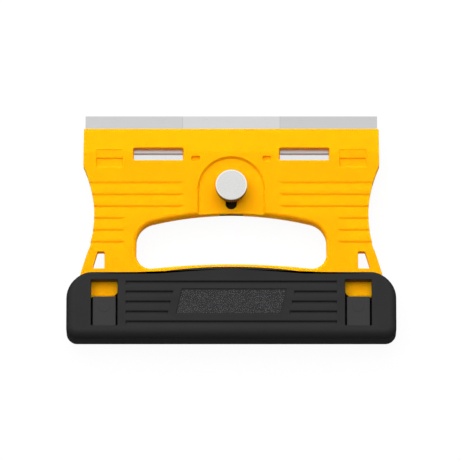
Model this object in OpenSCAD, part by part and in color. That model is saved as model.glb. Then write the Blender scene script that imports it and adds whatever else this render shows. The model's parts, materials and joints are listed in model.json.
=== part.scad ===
// Heavy-duty hand scraper. A frame of two moulded shells, with a hand hole, guides a steel
// carrier that holds a row of three blades. A thumb screw clamps the carrier in its slot,
// and a clip-on cover closes the handle and stores spare blades.
// X runs along the blades, Y from the handle to the cutting edge, Z up from the back.

/* [Blades] */
// Width of the whole row of blades
row_w = 150.5; // [146:0.5:154]
// Depth of a blade, edge to back
blade_len = 19.5; // [18:0.5:21]
// Thickness of a blade
blade_t = 0.5; // [0.4:0.05:0.7]
// How far the edge stands out of the jaws
blade_out = 7.2; // [5:0.1:9]
// Length of the ground bevel
bevel_len = 1.4; // [1:0.1:3]
// Diameter of the pegs that locate a blade
peg_d = 4; // [3:0.1:5]
// Distance from the back of a blade to its pegs
peg_in = 5; // [4:0.5:7]

/* [Blade carrier] */
// Thickness of the carrier plate
carrier_t = 1.2; // [1:0.1:1.4]
// How far the carrier stops short of each end of the blade row
carrier_short = 7; // [6:0.5:12]
// How far the carrier's front edge lies behind the mouth
carrier_set = 1.5; // [1:0.5:4]
// Height of the joggle behind the blades
joggle_rise = 1; // [0.8:0.1:1.1]
// Length of the joggle
joggle_len = 1; // [0.8:0.1:2]
// How far the plate reaches behind the blades
carrier_back = 11.2; // [9:0.2:12]
// Width of the tang that carries the nut
tang_w = 11.6; // [10:0.2:13]

/* [Clamp screw] */
// Diameter of the stud
stud_d = 5; // [4:0.5:5.4]
// Distance of the stud behind the mouth
stud_set = 32.6; // [31:0.2:34]
// Diameter of the knob
knob_d = 16; // [14:0.5:20]
// Thickness of the knob's head
knob_t = 6; // [5:0.5:8]
// Diameter of the knob's collar
collar_d = 9.6; // [9:0.2:11]
// Height of the knob's collar
collar_h = 2.2; // [1.5:0.1:3]
// Diameter of the flat washer
washer_d = 11.5; // [10:0.5:13]
// Thickness of the flat washer
washer_t = 1; // [0.8:0.1:1.5]
// Diameter of the spring washer
spring_d = 9.2; // [8.4:0.2:10]
// Thickness of the spring washer
spring_t = 1.2; // [0.8:0.1:1.5]
// Length of the plate nut along the tang
nut_len = 8.8; // [8:0.2:10]
// Thickness of the plate nut
nut_t = 2.7; // [2.2:0.1:2.8]
// Diameter of the rivets through nut and tang
rivet_d = 1.6; // [1.2:0.1:2]

/* [Frame] */
// Length of the frame, feet to mouth
frame_len = 89.9; // [88:0.1:94]
// Thickness of the two shells together
frame_t = 9; // [8.6:0.1:9.6]
// How far each jaw end stands past the blades
jaw_over = 1; // [0.5:0.1:2]
// Radius of the jaw's front corners
jaw_r = 0.8; // [0.4:0.1:1.5]
// Length of the straight jaw sides
jaw_len = 20.8; // [19.5:0.1:22]
// Length of the shoulder below the jaws
shoulder_len = 7; // [6:0.5:8]
// How far the waist is drawn in at each side
waist_in = 5.7; // [4:0.1:6.5]
// Radius of the waist
waist_r = 64; // [58:1:72]
// Distance of the waist behind the mouth
waist_set = 45.8; // [44:0.1:48]
// Length of the flare from the cover's mouth to the waist
flare_len = 11.6; // [11:0.2:16]
// Width across the feet
foot_w = 155; // [153:0.2:160]
// Width of one foot
foot_side = 19.3; // [18.5:0.1:20.5]
// Height of the notch between the feet
foot_notch = 4; // [3:0.2:5]
// Height of the front lip above the blade plane at the mouth
lip_h = 2.3; // [2:0.1:3]
// Length of the ramp behind the lip
ramp_len = 12.2; // [10:0.2:14]
// Length of the chamfer at the end of a foot
foot_lead = 1.2; // [0.5:0.1:1.5]

/* [Hand hole] */
// Width of the hand hole
hole_w = 97.7; // [92:0.1:101]
// Height of the hand hole at its middle
hole_len = 26.9; // [25:0.1:27.5]
// Depth of the handle bar below the hole
bar_len = 17.8; // [17:0.1:20]
// Radius of the hole's upper edge
hole_top_r = 170; // [140:5:220]
// Radius of the hole's lower edge
hole_low_r = 367; // [300:5:500]
// Radius of the hole's upper corners
hole_corner_r = 11.2; // [8:0.1:13]
// Radius of the hole's lower corners
hole_heel_r = 7.5; // [5:0.5:9]
// Radius of the rounded rim of the hole
rim = 2; // [1:0.1:2.6]

/* [Front face] */
// Radius of the recess around the knob
arch_r = 17.5; // [15:0.5:19]
// Depth of the recess around the knob
arch_depth = 1.5; // [1:0.1:1.8]
// Slope run of the recess wall
arch_slope = 1; // [0.4:0.1:2]
// Width of a metal window
window_w = 26; // [20:0.5:30]
// Height of a metal window
window_len = 6.6; // [5:0.1:8]
// Distance of a metal window's middle from the centre line
window_x = 37.6; // [34:0.2:39]
// Radius of the corners of windows and small pockets
pocket_r = 0.8; // [0.3:0.1:1.2]
// How far a window's ends lean in towards the plate
window_draft = 0.5; // [0.2:0.1:0.8]
// How far a window reaches over the blade
window_over = 1.75; // [1:0.05:2.5]
// Width of a side pocket
side_w = 14; // [10:0.5:15]
// Height of a side pocket
side_len = 9.2; // [7:0.2:10]
// Distance of a side pocket from the end of the jaw
side_in = 6.6; // [5:0.1:8]
// Depth of the deep half of a side pocket
side_depth = 1.2; // [0.8:0.1:1.6]
// Height of the deep half of a side pocket
side_step = 4.7; // [3:0.1:5.5]
// Width of a small pocket beside the recess
dimple_w = 4.3; // [3:0.1:5]
// Height of a small pocket
dimple_len = 2.6; // [2:0.1:3]
// Depth of a small pocket
dimple_depth = 1.6; // [0.4:0.1:2]
// Distance of a small pocket's lower edge behind the blades
dimple_set = 5.4; // [4.5:0.1:6]
// Distance of a small pocket's middle from the centre line
dimple_x = 18.25; // [17.5:0.05:19.5]

/* [Leg holes] */
// Height of a leg hole
leg_hole_len = 8.8; // [7.6:0.2:10]
// Width of a leg hole at its upper end
leg_hole_top = 3.5; // [3:0.1:4]
// Width of a leg hole at its lower end
leg_hole_low = 6.1; // [5:0.1:6.4]
// Wall between a leg hole's lower end and the outside of the leg
leg_wall = 5.3; // [4.8:0.05:6.5]
// Radius of a leg hole's corners
leg_hole_r = 0.6; // [0.3:0.1:1]
// Distance of a leg hole above the cover's mouth
leg_hole_up = 3; // [2.5:0.1:5]
// How much wider the hole is in the rear shell
leg_relief = 1.4; // [0.8:0.1:1.8]

/* [Grip ribs] */
// Distance of the first rib behind the mouth
rib_set = 29.5; // [28:0.1:30.5]
// Pitch of the ribs
rib_pitch = 6.3; // [5.5:0.1:6.6]
// Depth of a rib's step
rib_depth = 0.6; // [0.4:0.1:1]
// Length of a rib's step
rib_rise = 1; // [0.4:0.1:1.4]
// Length of a rib's slope
rib_run = 4.2; // [3:0.1:5]
// Length over which a rib fades out at its ends
rib_fade = 2.5; // [1:0.1:4]
// Distance of the long ribs' inner ends from the centre line
rib_long_x = 24.3; // [22:0.1:28]
// Distance of the short ribs' inner ends from the centre line
rib_short_x = 54.2; // [52.5:0.1:57]
// Depth of the two faint ribs beside a leg hole
faint_depth = 0.25; // [0.15:0.05:0.4]
// Length of the faint ribs
faint_w = 9; // [7:0.5:10]

/* [Shell screws] */
// Diameter of a shell screw
screw_d = 2.9; // [2.5:0.1:3.2]
// Diameter of a screw head
screw_head_d = 5.5; // [5:0.1:6]
// Height of a screw head
screw_head_h = 1.8; // [1.5:0.1:2]
// Depth of a screw head below the back
screw_sink = 0.8; // [0.7:0.1:1]
// Length of a screw below its head
screw_len = 4.6; // [4:0.1:4.8]

/* [Handle cover] */
// Thickness of the cover
cover_t = 20; // [18:0.5:24]
// Wall at each end of the cover, outside the feet
cover_end = 6.8; // [5:0.1:8]
// Thickness of the heel wall
cover_floor = 2.6; // [2:0.1:4]
// How far the cover laps over the feet
cover_lap = 12.3; // [11:0.1:13]
// Rise of the cover's mouth at its middle
cover_crown = 2.8; // [2:0.1:3]
// Width of the raised middle of the mouth
crown_w = 76; // [70:1:90]
// Radius of the shoulders at the mouth
cover_top_r = 13; // [10:0.5:16]
// Radius of the corners at the heel
cover_heel_r = 5.5; // [5:0.5:9]
// Radius of the edges along the heel and ends
cover_edge_r = 4.5; // [3:0.5:5]
// Radius of the edges at the mouth
mouth_r = 1.2; // [0.6:0.1:2]
// Width across the grip grooves
grip_w = 108; // [100:1:112]
// Pitch of the grip grooves
grip_pitch = 5.25; // [4.8:0.05:5.4]
// Depth of a grip groove
grip_depth = 1.1; // [0.5:0.1:1.4]
// Length of a grip groove's step
grip_rise = 0.25; // [0.1:0.05:0.6]
// Length of a grip groove's slope
grip_run = 2.6; // [2:0.1:3.6]
// Width of the plain panel
panel_w = 54; // [48:1:56]
// Height of the plain panel
panel_len = 13.3; // [12:0.1:14]
// Sideways slant of the panel over its height
panel_slant = 3; // [1:0.1:4]
// Gap from the panel to the grooves beside it
panel_gap = 4.2; // [3:0.1:6]
// Depth of the plain panel
panel_depth = 0.4; // [0.2:0.1:0.6]

/* [Latch tabs] */
// Width of a latch window
latch_w = 13.6; // [13:0.1:14.2]
// Height of a latch window
latch_len = 24; // [23:0.1:24.4]
// How much of the foot shows in a latch window
latch_show = 8; // [6:0.2:9]
// Distance of a latch window from the outside of the foot
latch_in = 5.6; // [5:0.1:6.5]
// Slit on each side of a tab
tab_slit = 0.9; // [0.7:0.1:1.2]
// Thickness of a tab
tab_t = 2.3; // [1.8:0.1:2.6]
// Depth of a tab below the cover's face
tab_sink = 1.5; // [1:0.1:1.8]
// Gap between a tab's free end and the foot
tab_gap = 0.5; // [0.4:0.1:0.8]
// Thickness of a tab's hook
hook_t = 1.2; // [1:0.1:1.4]
// Width of a tab's hook
hook_w = 8; // [6:0.5:9]
// Height of the catch that holds the hook
catch_h = 0.9; // [0.6:0.1:1]
// Depth of the catch along the foot
catch_len = 1.3; // [1:0.1:1.6]
// Skin of the foot over the hook
foot_skin = 1.7; // [1.4:0.1:1.9]
// Angle that a tab presses in
tab_press = 5; // [4:0.5:6]

/* [Fits] */
// Play of the carrier and blades in their slot, each side
slide_fit = 0.1; // [0.05:0.05:0.2]
// Play of the stud in its slot, each side
slot_fit = 0.35; // [0.2:0.05:0.5]
// Play of the tang and nut in their channel, each side
tang_fit = 0.3; // [0.2:0.05:0.4]
// Radial play of studs, pegs, rivets and screws in their holes
pin_fit = 0.05; // [0.02:0.01:0.1]
// Play between the cover and the feet, and around the hooks
cover_fit = 0.3; // [0.2:0.05:0.4]
// Gap between neighbouring blades
blade_gap = 0.1; // [0.05:0.05:0.2]
// Slack for spare blades inside the cover
store_fit = 0.2; // [0.1:0.1:1]
// How far the edge goes behind the mouth when drawn in
tuck = 0.2; // [0.1:0.1:0.5]

/* [Hidden] */
$fn = 96;
// Overcut that lets a cutter pass cleanly through a face
over = 1;
// Overlap that joins two forms, or lifts a sloped cutter clear of a face
nip = 0.04;

yellow = [0.99, 0.74, 0.03];
black = [0.17, 0.17, 0.18];
steel = [0.78, 0.78, 0.79];
bright = [0.88, 0.88, 0.88];

// Places along Y
store_len = blade_len + store_fit;
heel_y = -(cover_floor + store_len + frame_len + blade_out) / 2;
foot_y = heel_y + cover_floor + store_len;
mouth_y = foot_y + frame_len;
edge_y = mouth_y + blade_out;
blade_back_y = edge_y - blade_len;
peg_y = blade_back_y + peg_in;
carrier_front_y = mouth_y - carrier_set;
joggle_y = blade_back_y - 3 * slide_fit;
carrier_rear_y = blade_back_y - carrier_back;
stud_y = mouth_y - stud_set;
travel = blade_out + tuck;
tang_end_y = stud_y - nut_len / 2;
shoulder_y = mouth_y - jaw_len;
waist_y = mouth_y - waist_set;
hole_low_y = foot_y + bar_len;
hole_top_y = hole_low_y + hole_len;
hole_mid_y = hole_low_y + hole_len / 2;
cover_side_y = foot_y + cover_lap;
flare_y = cover_side_y + flare_len;
window_y = blade_back_y + window_over - window_len / 2;
dimple_y = blade_back_y - dimple_set;
side_y = shoulder_y + slide_fit;
rib_y = mouth_y - rib_set;

// Places along X
blade_w = row_w / 3;
jaw_x = row_w / 2 + jaw_over;
waist_x = jaw_x - waist_in;
carrier_x = row_w / 2 - carrier_short;
foot_x = foot_w / 2;
cover_x = foot_x + cover_fit + cover_end;
latch_x = foot_x - latch_in - latch_w / 2;
side_x = jaw_x - side_in - side_w / 2;

// Heights above the plane where the shells meet, which is also the middle of the blades
split_z = cover_t / 2;
half_t = frame_t / 2;
blade_top = blade_t / 2;
plate_z = -blade_top - carrier_t;
tang_z = plate_z + joggle_rise;
tang_top = tang_z + carrier_t;
nut_z = tang_z - nut_t;
arch_z = half_t - arch_depth;
washer_z = arch_z + slide_fit;
spring_z = washer_z + washer_t;
collar_z = spring_z + spring_t;
head_z = collar_z + collar_h;
knob_top = head_z + knob_t;
stud_seat = collar_h + knob_t / 2;

// Latch heights above the back
pocket_top = split_z + half_t + cover_fit;
tab_top = cover_t - tab_sink;
tab_z = tab_top - tab_t;
skin_z = split_z + half_t - foot_skin;
catch_z = skin_z - catch_h;
hook_top = skin_z - cover_fit;
arm_top = catch_z - cover_fit;
arm_z = arm_top - hook_t;
latch_top_y = foot_y + latch_show;
latch_low_y = latch_top_y - latch_len;
tab_root_y = latch_low_y + tab_t / 2 + slide_fit;
tab_end_y = foot_y - tab_gap;
catch_y = foot_y + catch_len;
nose_y = catch_y + cover_fit;
nose_end_y = nose_y + hook_t;
press_drop = (nose_end_y - tab_root_y) * sin(tab_press) + cover_fit;

// Half width of the frame in the waist, and across the flared legs below it
function waist_at(y) = waist_x + waist_r - sqrt(waist_r * waist_r - pow(y - waist_y, 2));
function leg_at(y) =
  let (flare_x = waist_at(flare_y)) flare_x + (foot_x - flare_x) * (flare_y - y) / flare_len;

// A profile drawn as Y and Z, swept along X about the middle
module along_x(w) {
  rotate([90, 0, 90]) linear_extrude(height = w, center = true) children();
}

// The children and their mirror image on the other side of the centre line
module both_sides() {
  children();
  mirror([1, 0, 0]) children();
}

// A block given by its middle in X, its size in X, and its limits in Y and Z
module block(x, w, y0, y1, z0, z1) {
  translate([x - w / 2, y0, z0]) cube([w, y1 - y0, z1 - z0]);
}

// Points of a round corner at v, between its neighbours p and n
function soft_corner(p, v, n, r) =
  let (
    to_p = (p - v) / norm(p - v),
    to_n = (n - v) / norm(n - v),
    half = acos(to_p * to_n) / 2,
    c = v + (to_p + to_n) / norm(to_p + to_n) * r / sin(half),
    first = v + to_p * r / tan(half) - c,
    last = v + to_n * r / tan(half) - c,
    steps = 6
  )
  [for (i = [0:steps]) let (d = first + (last - first) * i / steps) c + d / norm(d) * r];

// An outline with all its corners rounded
function soft_outline(points, r) =
  let (n = len(points))
  [for (i = [0:n - 1]) each soft_corner(points[(i + n - 1) % n], points[i], points[(i + 1) % n], r)];

// A pocket with round corners, given by its middle in X, its size in X at the face, its limits in Y,
// its floor and how far its ends lean in at the floor
module pocket(x, w, y0, y1, z, lean) {
  stack([for (end = [[z, w / 2 - lean], [half_t + nip, w / 2]]) let (
      low = [x - end[1], y0],
      high = [x + end[1], y1]
    ) [for (q = soft_outline([[low[0], y1], high, [high[0], y0], low], pocket_r)) [q[0], q[1], end[0]]]]);
}

// Outline of the frame seen from the front
module frame_outline() {
  shoulder_low_y = shoulder_y - shoulder_len;
  chord = 0.1;
  mouth_taper = 0.2;
  tip_x = jaw_x - mouth_taper;
  right = [
    each arc([tip_x - jaw_r, mouth_y - jaw_r], jaw_r, 90, 0, 5),
    [tip_x, mouth_y - jaw_r],
    [jaw_x, shoulder_y],
    [waist_at(shoulder_low_y) + chord, shoulder_low_y],
    [waist_at(flare_y) + chord, flare_y],
    [foot_x, cover_side_y],
    [foot_x, foot_y]
  ];
  n = len(right);
  left = [for (i = [n - 1:-1:0]) [-right[i][0], right[i][1]]];
  difference() {
    polygon(concat(right, left));
    both_sides() translate([waist_x + waist_r, waist_y]) circle(waist_r, $fn = 200);
    foot_gap();
  }
}

// Space between the feet, with the inner corner of each foot rounded
module foot_gap() {
  gap_x = foot_x - foot_side;
  translate([-gap_x, foot_y - over]) square([2 * gap_x, foot_notch + over]);
  both_sides() difference() {
    translate([gap_x - over, foot_y - over]) square([foot_notch + over, foot_notch + over]);
    translate([gap_x + foot_notch, foot_y + foot_notch]) circle(foot_notch);
    translate([gap_x + foot_notch, foot_y - 2 * over]) square(foot_notch + 2 * over);
  }
}

// Points along an arc
function arc(c, r, a0, a1, n) =
  [for (i = [0:n - 1]) let (a = a0 + (a1 - a0) * i / n) [c[0] + r * cos(a), c[1] + r * sin(a)]];

// Right half of the hand hole: two wide arcs joined by corner arcs that touch them
function hole_side(grow) =
  let (
    x = hole_w / 2 + grow,
    top_c = hole_top_y - hole_top_r,
    low_c = hole_low_y - hole_low_r,
    top_r = hole_top_r + grow,
    low_r = hole_low_r - grow,
    corner = hole_corner_r + grow,
    heel = hole_heel_r + grow,
    corner_x = x - corner,
    corner_y = top_c + sqrt(pow(top_r - corner, 2) - pow(corner_x, 2)),
    heel_x = x - heel,
    heel_y0 = low_c + sqrt(pow(low_r + heel, 2) - pow(heel_x, 2)),
    top_a = atan2(corner_y - top_c, corner_x),
    low_a = atan2(heel_y0 - low_c, heel_x)
  )
  concat(
    arc([0, top_c], top_r, 90, top_a, 10),
    arc([corner_x, corner_y], corner, top_a, 0, 10),
    arc([heel_x, heel_y0], heel, 0, low_a - 180, 10),
    arc([0, low_c], low_r, low_a, 90, 6),
    [[0, low_c + low_r]]
  );

// A right-hand outline, from the top of the centre line to its foot, with its mirror image
function mirrored(right) =
  let (n = len(right)) concat(right, [for (i = [n - 2:-1:1]) [-right[i][0], right[i][1]]]);

// A solid through a stack of rings, which run clockwise from above and rise
module stack(rings) {
  n = len(rings[0]);
  last = len(rings) - 1;
  polyhedron(
    points = [for (ring = rings) each ring],
    faces = concat(
      [[for (i = [n - 1:-1:0]) i]],
      [for (k = [0:last - 1], i = [0:n - 1]) let (j = (i + 1) % n)
        each [[k * n + i, k * n + j, k * n + n + j], [k * n + i, k * n + n + j, k * n + n + i]]],
      [[for (i = [0:n - 1]) last * n + i]]
    )
  );
}

// Cutter for the hand hole: straight below, and flared by a quarter round at the face
module hole_cutter() {
  steps = 4;
  outlines = concat(
    [[0, -over]],
    [for (k = [0:steps]) let (a = k * 90 / steps) [rim * (1 - cos(a)), half_t - rim + rim * sin(a)]],
    [[rim, half_t + over]]
  );
  stack([for (o = outlines) [for (p = mirrored(hole_side(o[0]))) [p[0], p[1], o[1]]]]);
}

// Saw-tooth groove along X: a step at y, over a length of rise, that slopes back towards the handle
module saw_groove(x0, x1, y, z, depth, rise, run) {
  translate([(x0 + x1) / 2, 0, 0]) along_x(x1 - x0)
    polygon([[y + rise, z + nip], [y, z - depth], [y - run, z + nip]]);
}

// Grip rib on the right side of the frame: a groove that deepens from nothing at its ends
module grip_rib(x0, x1, y, depth) {
  intersection() {
    saw_groove(x0, x1, y, half_t, depth, rib_rise, rib_run);
    translate([0, y + 2 * rib_run, 0]) rotate([90, 0, 0]) linear_extrude(height = 4 * rib_run)
      polygon([[x0, half_t + nip], [x0 + rib_fade, half_t - depth - nip],
        [x1 - rib_fade, half_t - depth - nip], [x1, half_t + nip]]);
  }
}

// Grip ribs on one face, with a small step where each one wraps round the side
module grip_ribs() {
  wrap_step = rib_depth / 2;
  for (i = [0:5]) {
    y = rib_y - i * rib_pitch;
    inner = i < 3 ? rib_long_x : rib_short_x;
    edge = waist_at(y);
    both_sides() {
      grip_rib(inner, jaw_x + over, y, rib_depth);
      linear_extrude(height = frame_t)
        polygon([[edge + over, y + wrap_step], [edge - wrap_step, y], [edge + over, y - rib_run]]);
    }
  }
  for (i = [0:1]) {
    y = rib_y - 6 * rib_pitch - i * rib_run;
    both_sides() grip_rib(rib_short_x - rim, rib_short_x - rim + faint_w, y, faint_depth);
  }
}

// Leg hole, wider where grow is set
module leg_hole(grow) {
  low_y = cover_side_y + leg_hole_up;
  low_x = leg_at(low_y) - leg_wall;
  inner_x = low_x - leg_hole_low;
  polygon(soft_outline([
    [inner_x - grow, low_y - grow],
    [low_x + grow, low_y - grow],
    [inner_x + leg_hole_top + grow, low_y + leg_hole_len + grow],
    [inner_x - grow, low_y + leg_hole_len + grow]
  ], leg_hole_r));
}

// One half of the frame, from the split plane outwards
module half_frame() {
  difference() {
    intersection() {
      linear_extrude(height = frame_t) frame_outline();
      along_x(foot_w + 2 * over) polygon([
        [foot_y, 0], [mouth_y, 0], [mouth_y, lip_h], [mouth_y - ramp_len, half_t],
        [foot_y + foot_lead, half_t], [foot_y, half_t - foot_lead / 2]
      ]);
    }
    hole_cutter();
    grip_ribs();
  }
}

// Centres of the shell screws on the right side
screw_wall = 3.6;
screw_places = [
  [waist_x - 2 * screw_head_d, stud_y - screw_head_d],
  [arch_r + screw_head_d + over, (stud_y + hole_top_y) / 2],
  [hole_w / 2 + screw_wall + screw_head_d / 2, hole_mid_y],
  [hole_w / 3, cover_side_y - screw_head_d / 2]
];

// The children at every shell screw
module at_screws() {
  for (p = screw_places) both_sides() translate([p[0], p[1], 0]) children();
}

// Slot in which the stud slides
module stud_slot() {
  slot_r = stud_d / 2 + slot_fit;
  slot_len = travel + 2 * slide_fit;
  translate([0, stud_y + slide_fit, -over]) {
    cylinder(h = frame_t, r = slot_r);
    translate([0, -slot_len, 0]) cylinder(h = frame_t, r = slot_r);
    translate([-slot_r, -slot_len, 0]) cube([2 * slot_r, slot_len, frame_t]);
  }
}

// Sloped recess around the knob, open to the hand hole
module arch_recess() {
  top = half_t + nip;
  translate([0, stud_y, arch_z])
    cylinder(h = top - arch_z, r1 = arch_r - arch_slope, r2 = arch_r);
  translate([0, stud_y, 0]) rotate([90, 0, 0]) linear_extrude(height = stud_y - hole_mid_y)
    polygon([
      [-arch_r, top], [-arch_r + arch_slope, arch_z], [arch_r - arch_slope, arch_z], [arch_r, top]
    ]);
}

// Space under the foot's skin for the hook, measured above the split plane
module hook_space(z0, z1) {
  block(latch_x, hook_w + 4 * cover_fit, foot_y - over, nose_end_y + 2 * cover_fit, z0, z1);
}

module front_shell() {
  plate_room = carrier_x + tang_fit;
  rear_room = carrier_rear_y - travel - tang_fit;
  blade_rear = blade_back_y - travel - tang_fit;
  color(yellow) translate([0, 0, split_z]) difference() {
    half_frame();
    block(0, foot_w, blade_rear, mouth_y + over, -over, blade_top + slide_fit);
    block(0, 2 * plate_room, rear_room, joggle_y, -over, tang_top + slide_fit);
    block(0, tang_w + 2 * tang_fit, hole_mid_y, joggle_y, -over, tang_top + slide_fit);
    arch_recess();
    stud_slot();
    both_sides() {
      pocket(window_x, window_w, window_y - window_len / 2, window_y + window_len / 2, 0, window_draft);
      block(side_x, side_w, side_y, side_y + side_step, half_t - side_depth, frame_t);
      block(side_x, side_w, side_y, side_y + side_len, half_t - side_depth / 3, frame_t);
      pocket(dimple_x, dimple_w, dimple_y, dimple_y + dimple_len, half_t - dimple_depth, 0);
      translate([0, 0, -over]) linear_extrude(height = frame_t) leg_hole(0);
      hook_space(-over, catch_z - split_z);
      block(latch_x, hook_w + 4 * cover_fit, catch_y, nose_end_y + 2 * cover_fit,
        -over, skin_z - split_z);
    }
    translate([0, 0, -over]) at_screws()
      cylinder(h = over + screw_len + screw_head_h + screw_sink - half_t + cover_fit,
        d = screw_d + 2 * pin_fit);
  }
}

module rear_shell() {
  plate_room = carrier_x + tang_fit;
  rear_room = carrier_rear_y - travel - tang_fit;
  blade_rear = blade_back_y - travel - tang_fit;
  raised_y = joggle_y - joggle_len - travel - tang_fit;
  color(yellow) translate([0, 0, split_z]) mirror([0, 0, 1]) difference() {
    half_frame();
    block(0, foot_w, blade_rear, mouth_y + over, -over, blade_top + slide_fit);
    block(0, 2 * plate_room, raised_y, mouth_y + over, -over, slide_fit - plate_z);
    block(0, 2 * plate_room, rear_room, raised_y + over, -over, slide_fit - tang_z);
    block(0, tang_w + 2 * tang_fit, hole_mid_y, stud_y + nut_len / 2 + tang_fit,
      -over, tang_fit - nut_z);
    block(0, tang_w + 2 * tang_fit, hole_mid_y, rear_room + over, -over, slide_fit - tang_z);
    both_sides() {
      translate([0, 0, -over]) linear_extrude(height = frame_t) leg_hole(leg_relief);
      hook_space(-over, press_drop + split_z - arm_z);
    }
    at_screws() {
      translate([0, 0, -over]) cylinder(h = frame_t, d = screw_d + 4 * pin_fit);
      translate([0, 0, half_t - screw_head_h - screw_sink])
        cylinder(h = frame_t, d = screw_head_d + 2 * tang_fit);
    }
  }
}

module shell_screws() {
  cross_w = 1;
  cross_d = 1.2;
  seat_z = split_z - half_t + screw_sink;
  color(steel) translate([0, 0, seat_z]) at_screws() difference() {
    union() {
      cylinder(h = screw_head_h, d = screw_head_d);
      cylinder(h = screw_head_h + screw_len, d = screw_d);
    }
    for (a = [0, 90]) rotate([0, 0, a]) translate([-screw_d / 2, -cross_w / 2, -over])
      cube([screw_d, cross_w, over + cross_d]);
  }
}

// Peg centres, as steps along X from the middle of one blade
peg_steps = [-blade_w * 0.3, blade_w * 0.3];

module blade_carrier() {
  color(bright) translate([0, 0, split_z]) difference() {
    union() {
      along_x(2 * carrier_x) polygon([
        [carrier_rear_y, tang_z], [joggle_y - joggle_len, tang_z], [joggle_y, plate_z],
        [carrier_front_y, plate_z], [carrier_front_y, plate_z + carrier_t],
        [joggle_y, plate_z + carrier_t], [joggle_y - joggle_len, tang_top],
        [carrier_rear_y, tang_top]
      ]);
      block(0, tang_w, tang_end_y, carrier_rear_y + over, tang_z, tang_top);
    }
    for (i = [-1:1], s = peg_steps) translate([i * blade_w + s, peg_y, plate_z - over])
      cylinder(h = carrier_t + 2 * over, d = peg_d + pin_fit);
    translate([0, stud_y, tang_z - over])
      cylinder(h = carrier_t + 2 * over, d = stud_d + 4 * pin_fit);
    at_rivets() translate([0, 0, tang_z - over])
      cylinder(h = carrier_t + 2 * over, d = rivet_d + pin_fit);
  }
}

// One blade of the row: a bevelled strip with a hole for each peg
module blade(place) {
  color(steel) translate([place * blade_w, 0, split_z]) difference() {
    along_x(blade_w - blade_gap) polygon([
      [blade_back_y, -blade_top], [edge_y - bevel_len, -blade_top],
      [edge_y, -blade_top / 8], [edge_y, blade_top / 8],
      [edge_y - bevel_len, blade_top], [blade_back_y, blade_top]
    ]);
    for (s = peg_steps) translate([s, peg_y, -over])
      cylinder(h = 2 * over, d = peg_d + 2 * pin_fit);
  }
}

module blade_left() { blade(-1); }
module blade_centre() { blade(0); }
module blade_right() { blade(1); }

module blade_pegs() {
  color(steel) translate([0, peg_y, split_z + plate_z])
    for (i = [-1:1], s = peg_steps) translate([i * blade_w + s, 0, 0])
      cylinder(h = carrier_t + blade_t, d = peg_d);
}

// The children at both nut rivets
module at_rivets() {
  both_sides() translate([(tang_w / 2 + stud_d / 2) / 2, stud_y, 0]) children();
}

module clamp_nut() {
  color(black) translate([0, 0, split_z]) difference() {
    block(0, tang_w, stud_y - nut_len / 2, stud_y + nut_len / 2, nut_z, tang_z);
    translate([0, stud_y, nut_z - over]) cylinder(h = nut_t + 2 * over, d = stud_d + 2 * pin_fit);
    at_rivets() translate([0, 0, nut_z - over]) cylinder(h = nut_t + 2 * over, d = rivet_d + pin_fit);
  }
}

module nut_rivets() {
  color(steel) translate([0, 0, split_z + nut_z])
    at_rivets() cylinder(h = nut_t + carrier_t, d = rivet_d);
}

// A flat ring round the stud
module ring(z, d, t) {
  translate([0, stud_y, split_z + z]) difference() {
    cylinder(h = t, d = d);
    translate([0, 0, -over]) cylinder(h = t + 2 * over, d = stud_d + 6 * pin_fit);
  }
}

module flat_washer() {
  color(steel) ring(washer_z, washer_d, washer_t);
}

module spring_washer() {
  cut_w = 0.8;
  color(steel) difference() {
    ring(spring_z, spring_d, spring_t);
    translate([0, stud_y - spring_d / 2, split_z + spring_z + spring_t / 2])
      rotate([0, 40, 0]) cube([cut_w, spring_d - stud_d, 4 * spring_t], center = true);
  }
}

module knob() {
  edge = 0.6;
  flutes = 36;
  flute_d = 0.7;
  color(bright) translate([0, stud_y, split_z + collar_z]) difference() {
    rotate_extrude() polygon([
      [0, 0], [collar_d / 2, 0], [collar_d / 2, collar_h],
      [knob_d / 2 - edge, collar_h], [knob_d / 2, collar_h + edge],
      [knob_d / 2, collar_h + knob_t - edge], [knob_d / 2 - edge, collar_h + knob_t],
      [0, collar_h + knob_t]
    ]);
    translate([0, 0, -over]) cylinder(h = stud_seat + over, d = stud_d + pin_fit);
    for (i = [0:flutes - 1]) rotate([0, 0, i * 360 / flutes])
      translate([knob_d / 2, 0, collar_h + 2 * edge]) rotate([0, 0, 45])
        translate([-flute_d / 2, -flute_d / 2, 0]) cube([flute_d, flute_d, knob_t - 4 * edge]);
  }
}

module stud() {
  tip = 0.5;
  shank = collar_z + stud_seat - nut_z - tip;
  color(black) translate([0, stud_y, split_z + nut_z]) {
    cylinder(h = tip, d1 = stud_d - 2 * tip, d2 = stud_d);
    translate([0, 0, tip]) cylinder(h = shank, d = stud_d);
  }
}

// Right half of the cover's outline, drawn in by e along the heel and ends and by m at the mouth
function cover_side(e, m) =
  let (
    crown_r = (pow(crown_w / 2, 2) + pow(cover_crown, 2)) / (2 * cover_crown),
    crown_y = cover_side_y + cover_crown - crown_r,
    crown_a = asin((crown_r - cover_crown - m) / (crown_r - m)),
    top = [cover_x - cover_top_r, cover_side_y - cover_top_r],
    heel = [cover_x - cover_heel_r, heel_y + cover_heel_r],
    steps = 10
  )
  concat(
    arc([0, crown_y], crown_r - m, 90, crown_a, steps),
    [[(crown_r - m) * cos(crown_a), cover_side_y - m]],
    [for (i = [0:steps]) let (a = 90 - i * 90 / steps)
      [top[0] + (cover_top_r - e) * cos(a), top[1] + (cover_top_r - m) * sin(a)]],
    arc(heel, cover_heel_r - e, 0, -90, steps),
    [[heel[0], heel_y + e], [0, heel_y + e]]
  );

// How far an edge of radius r is drawn in at a depth below its face
function round_in(r, depth) = depth < r ? r - sqrt(r * r - pow(r - depth, 2)) : 0;

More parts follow.
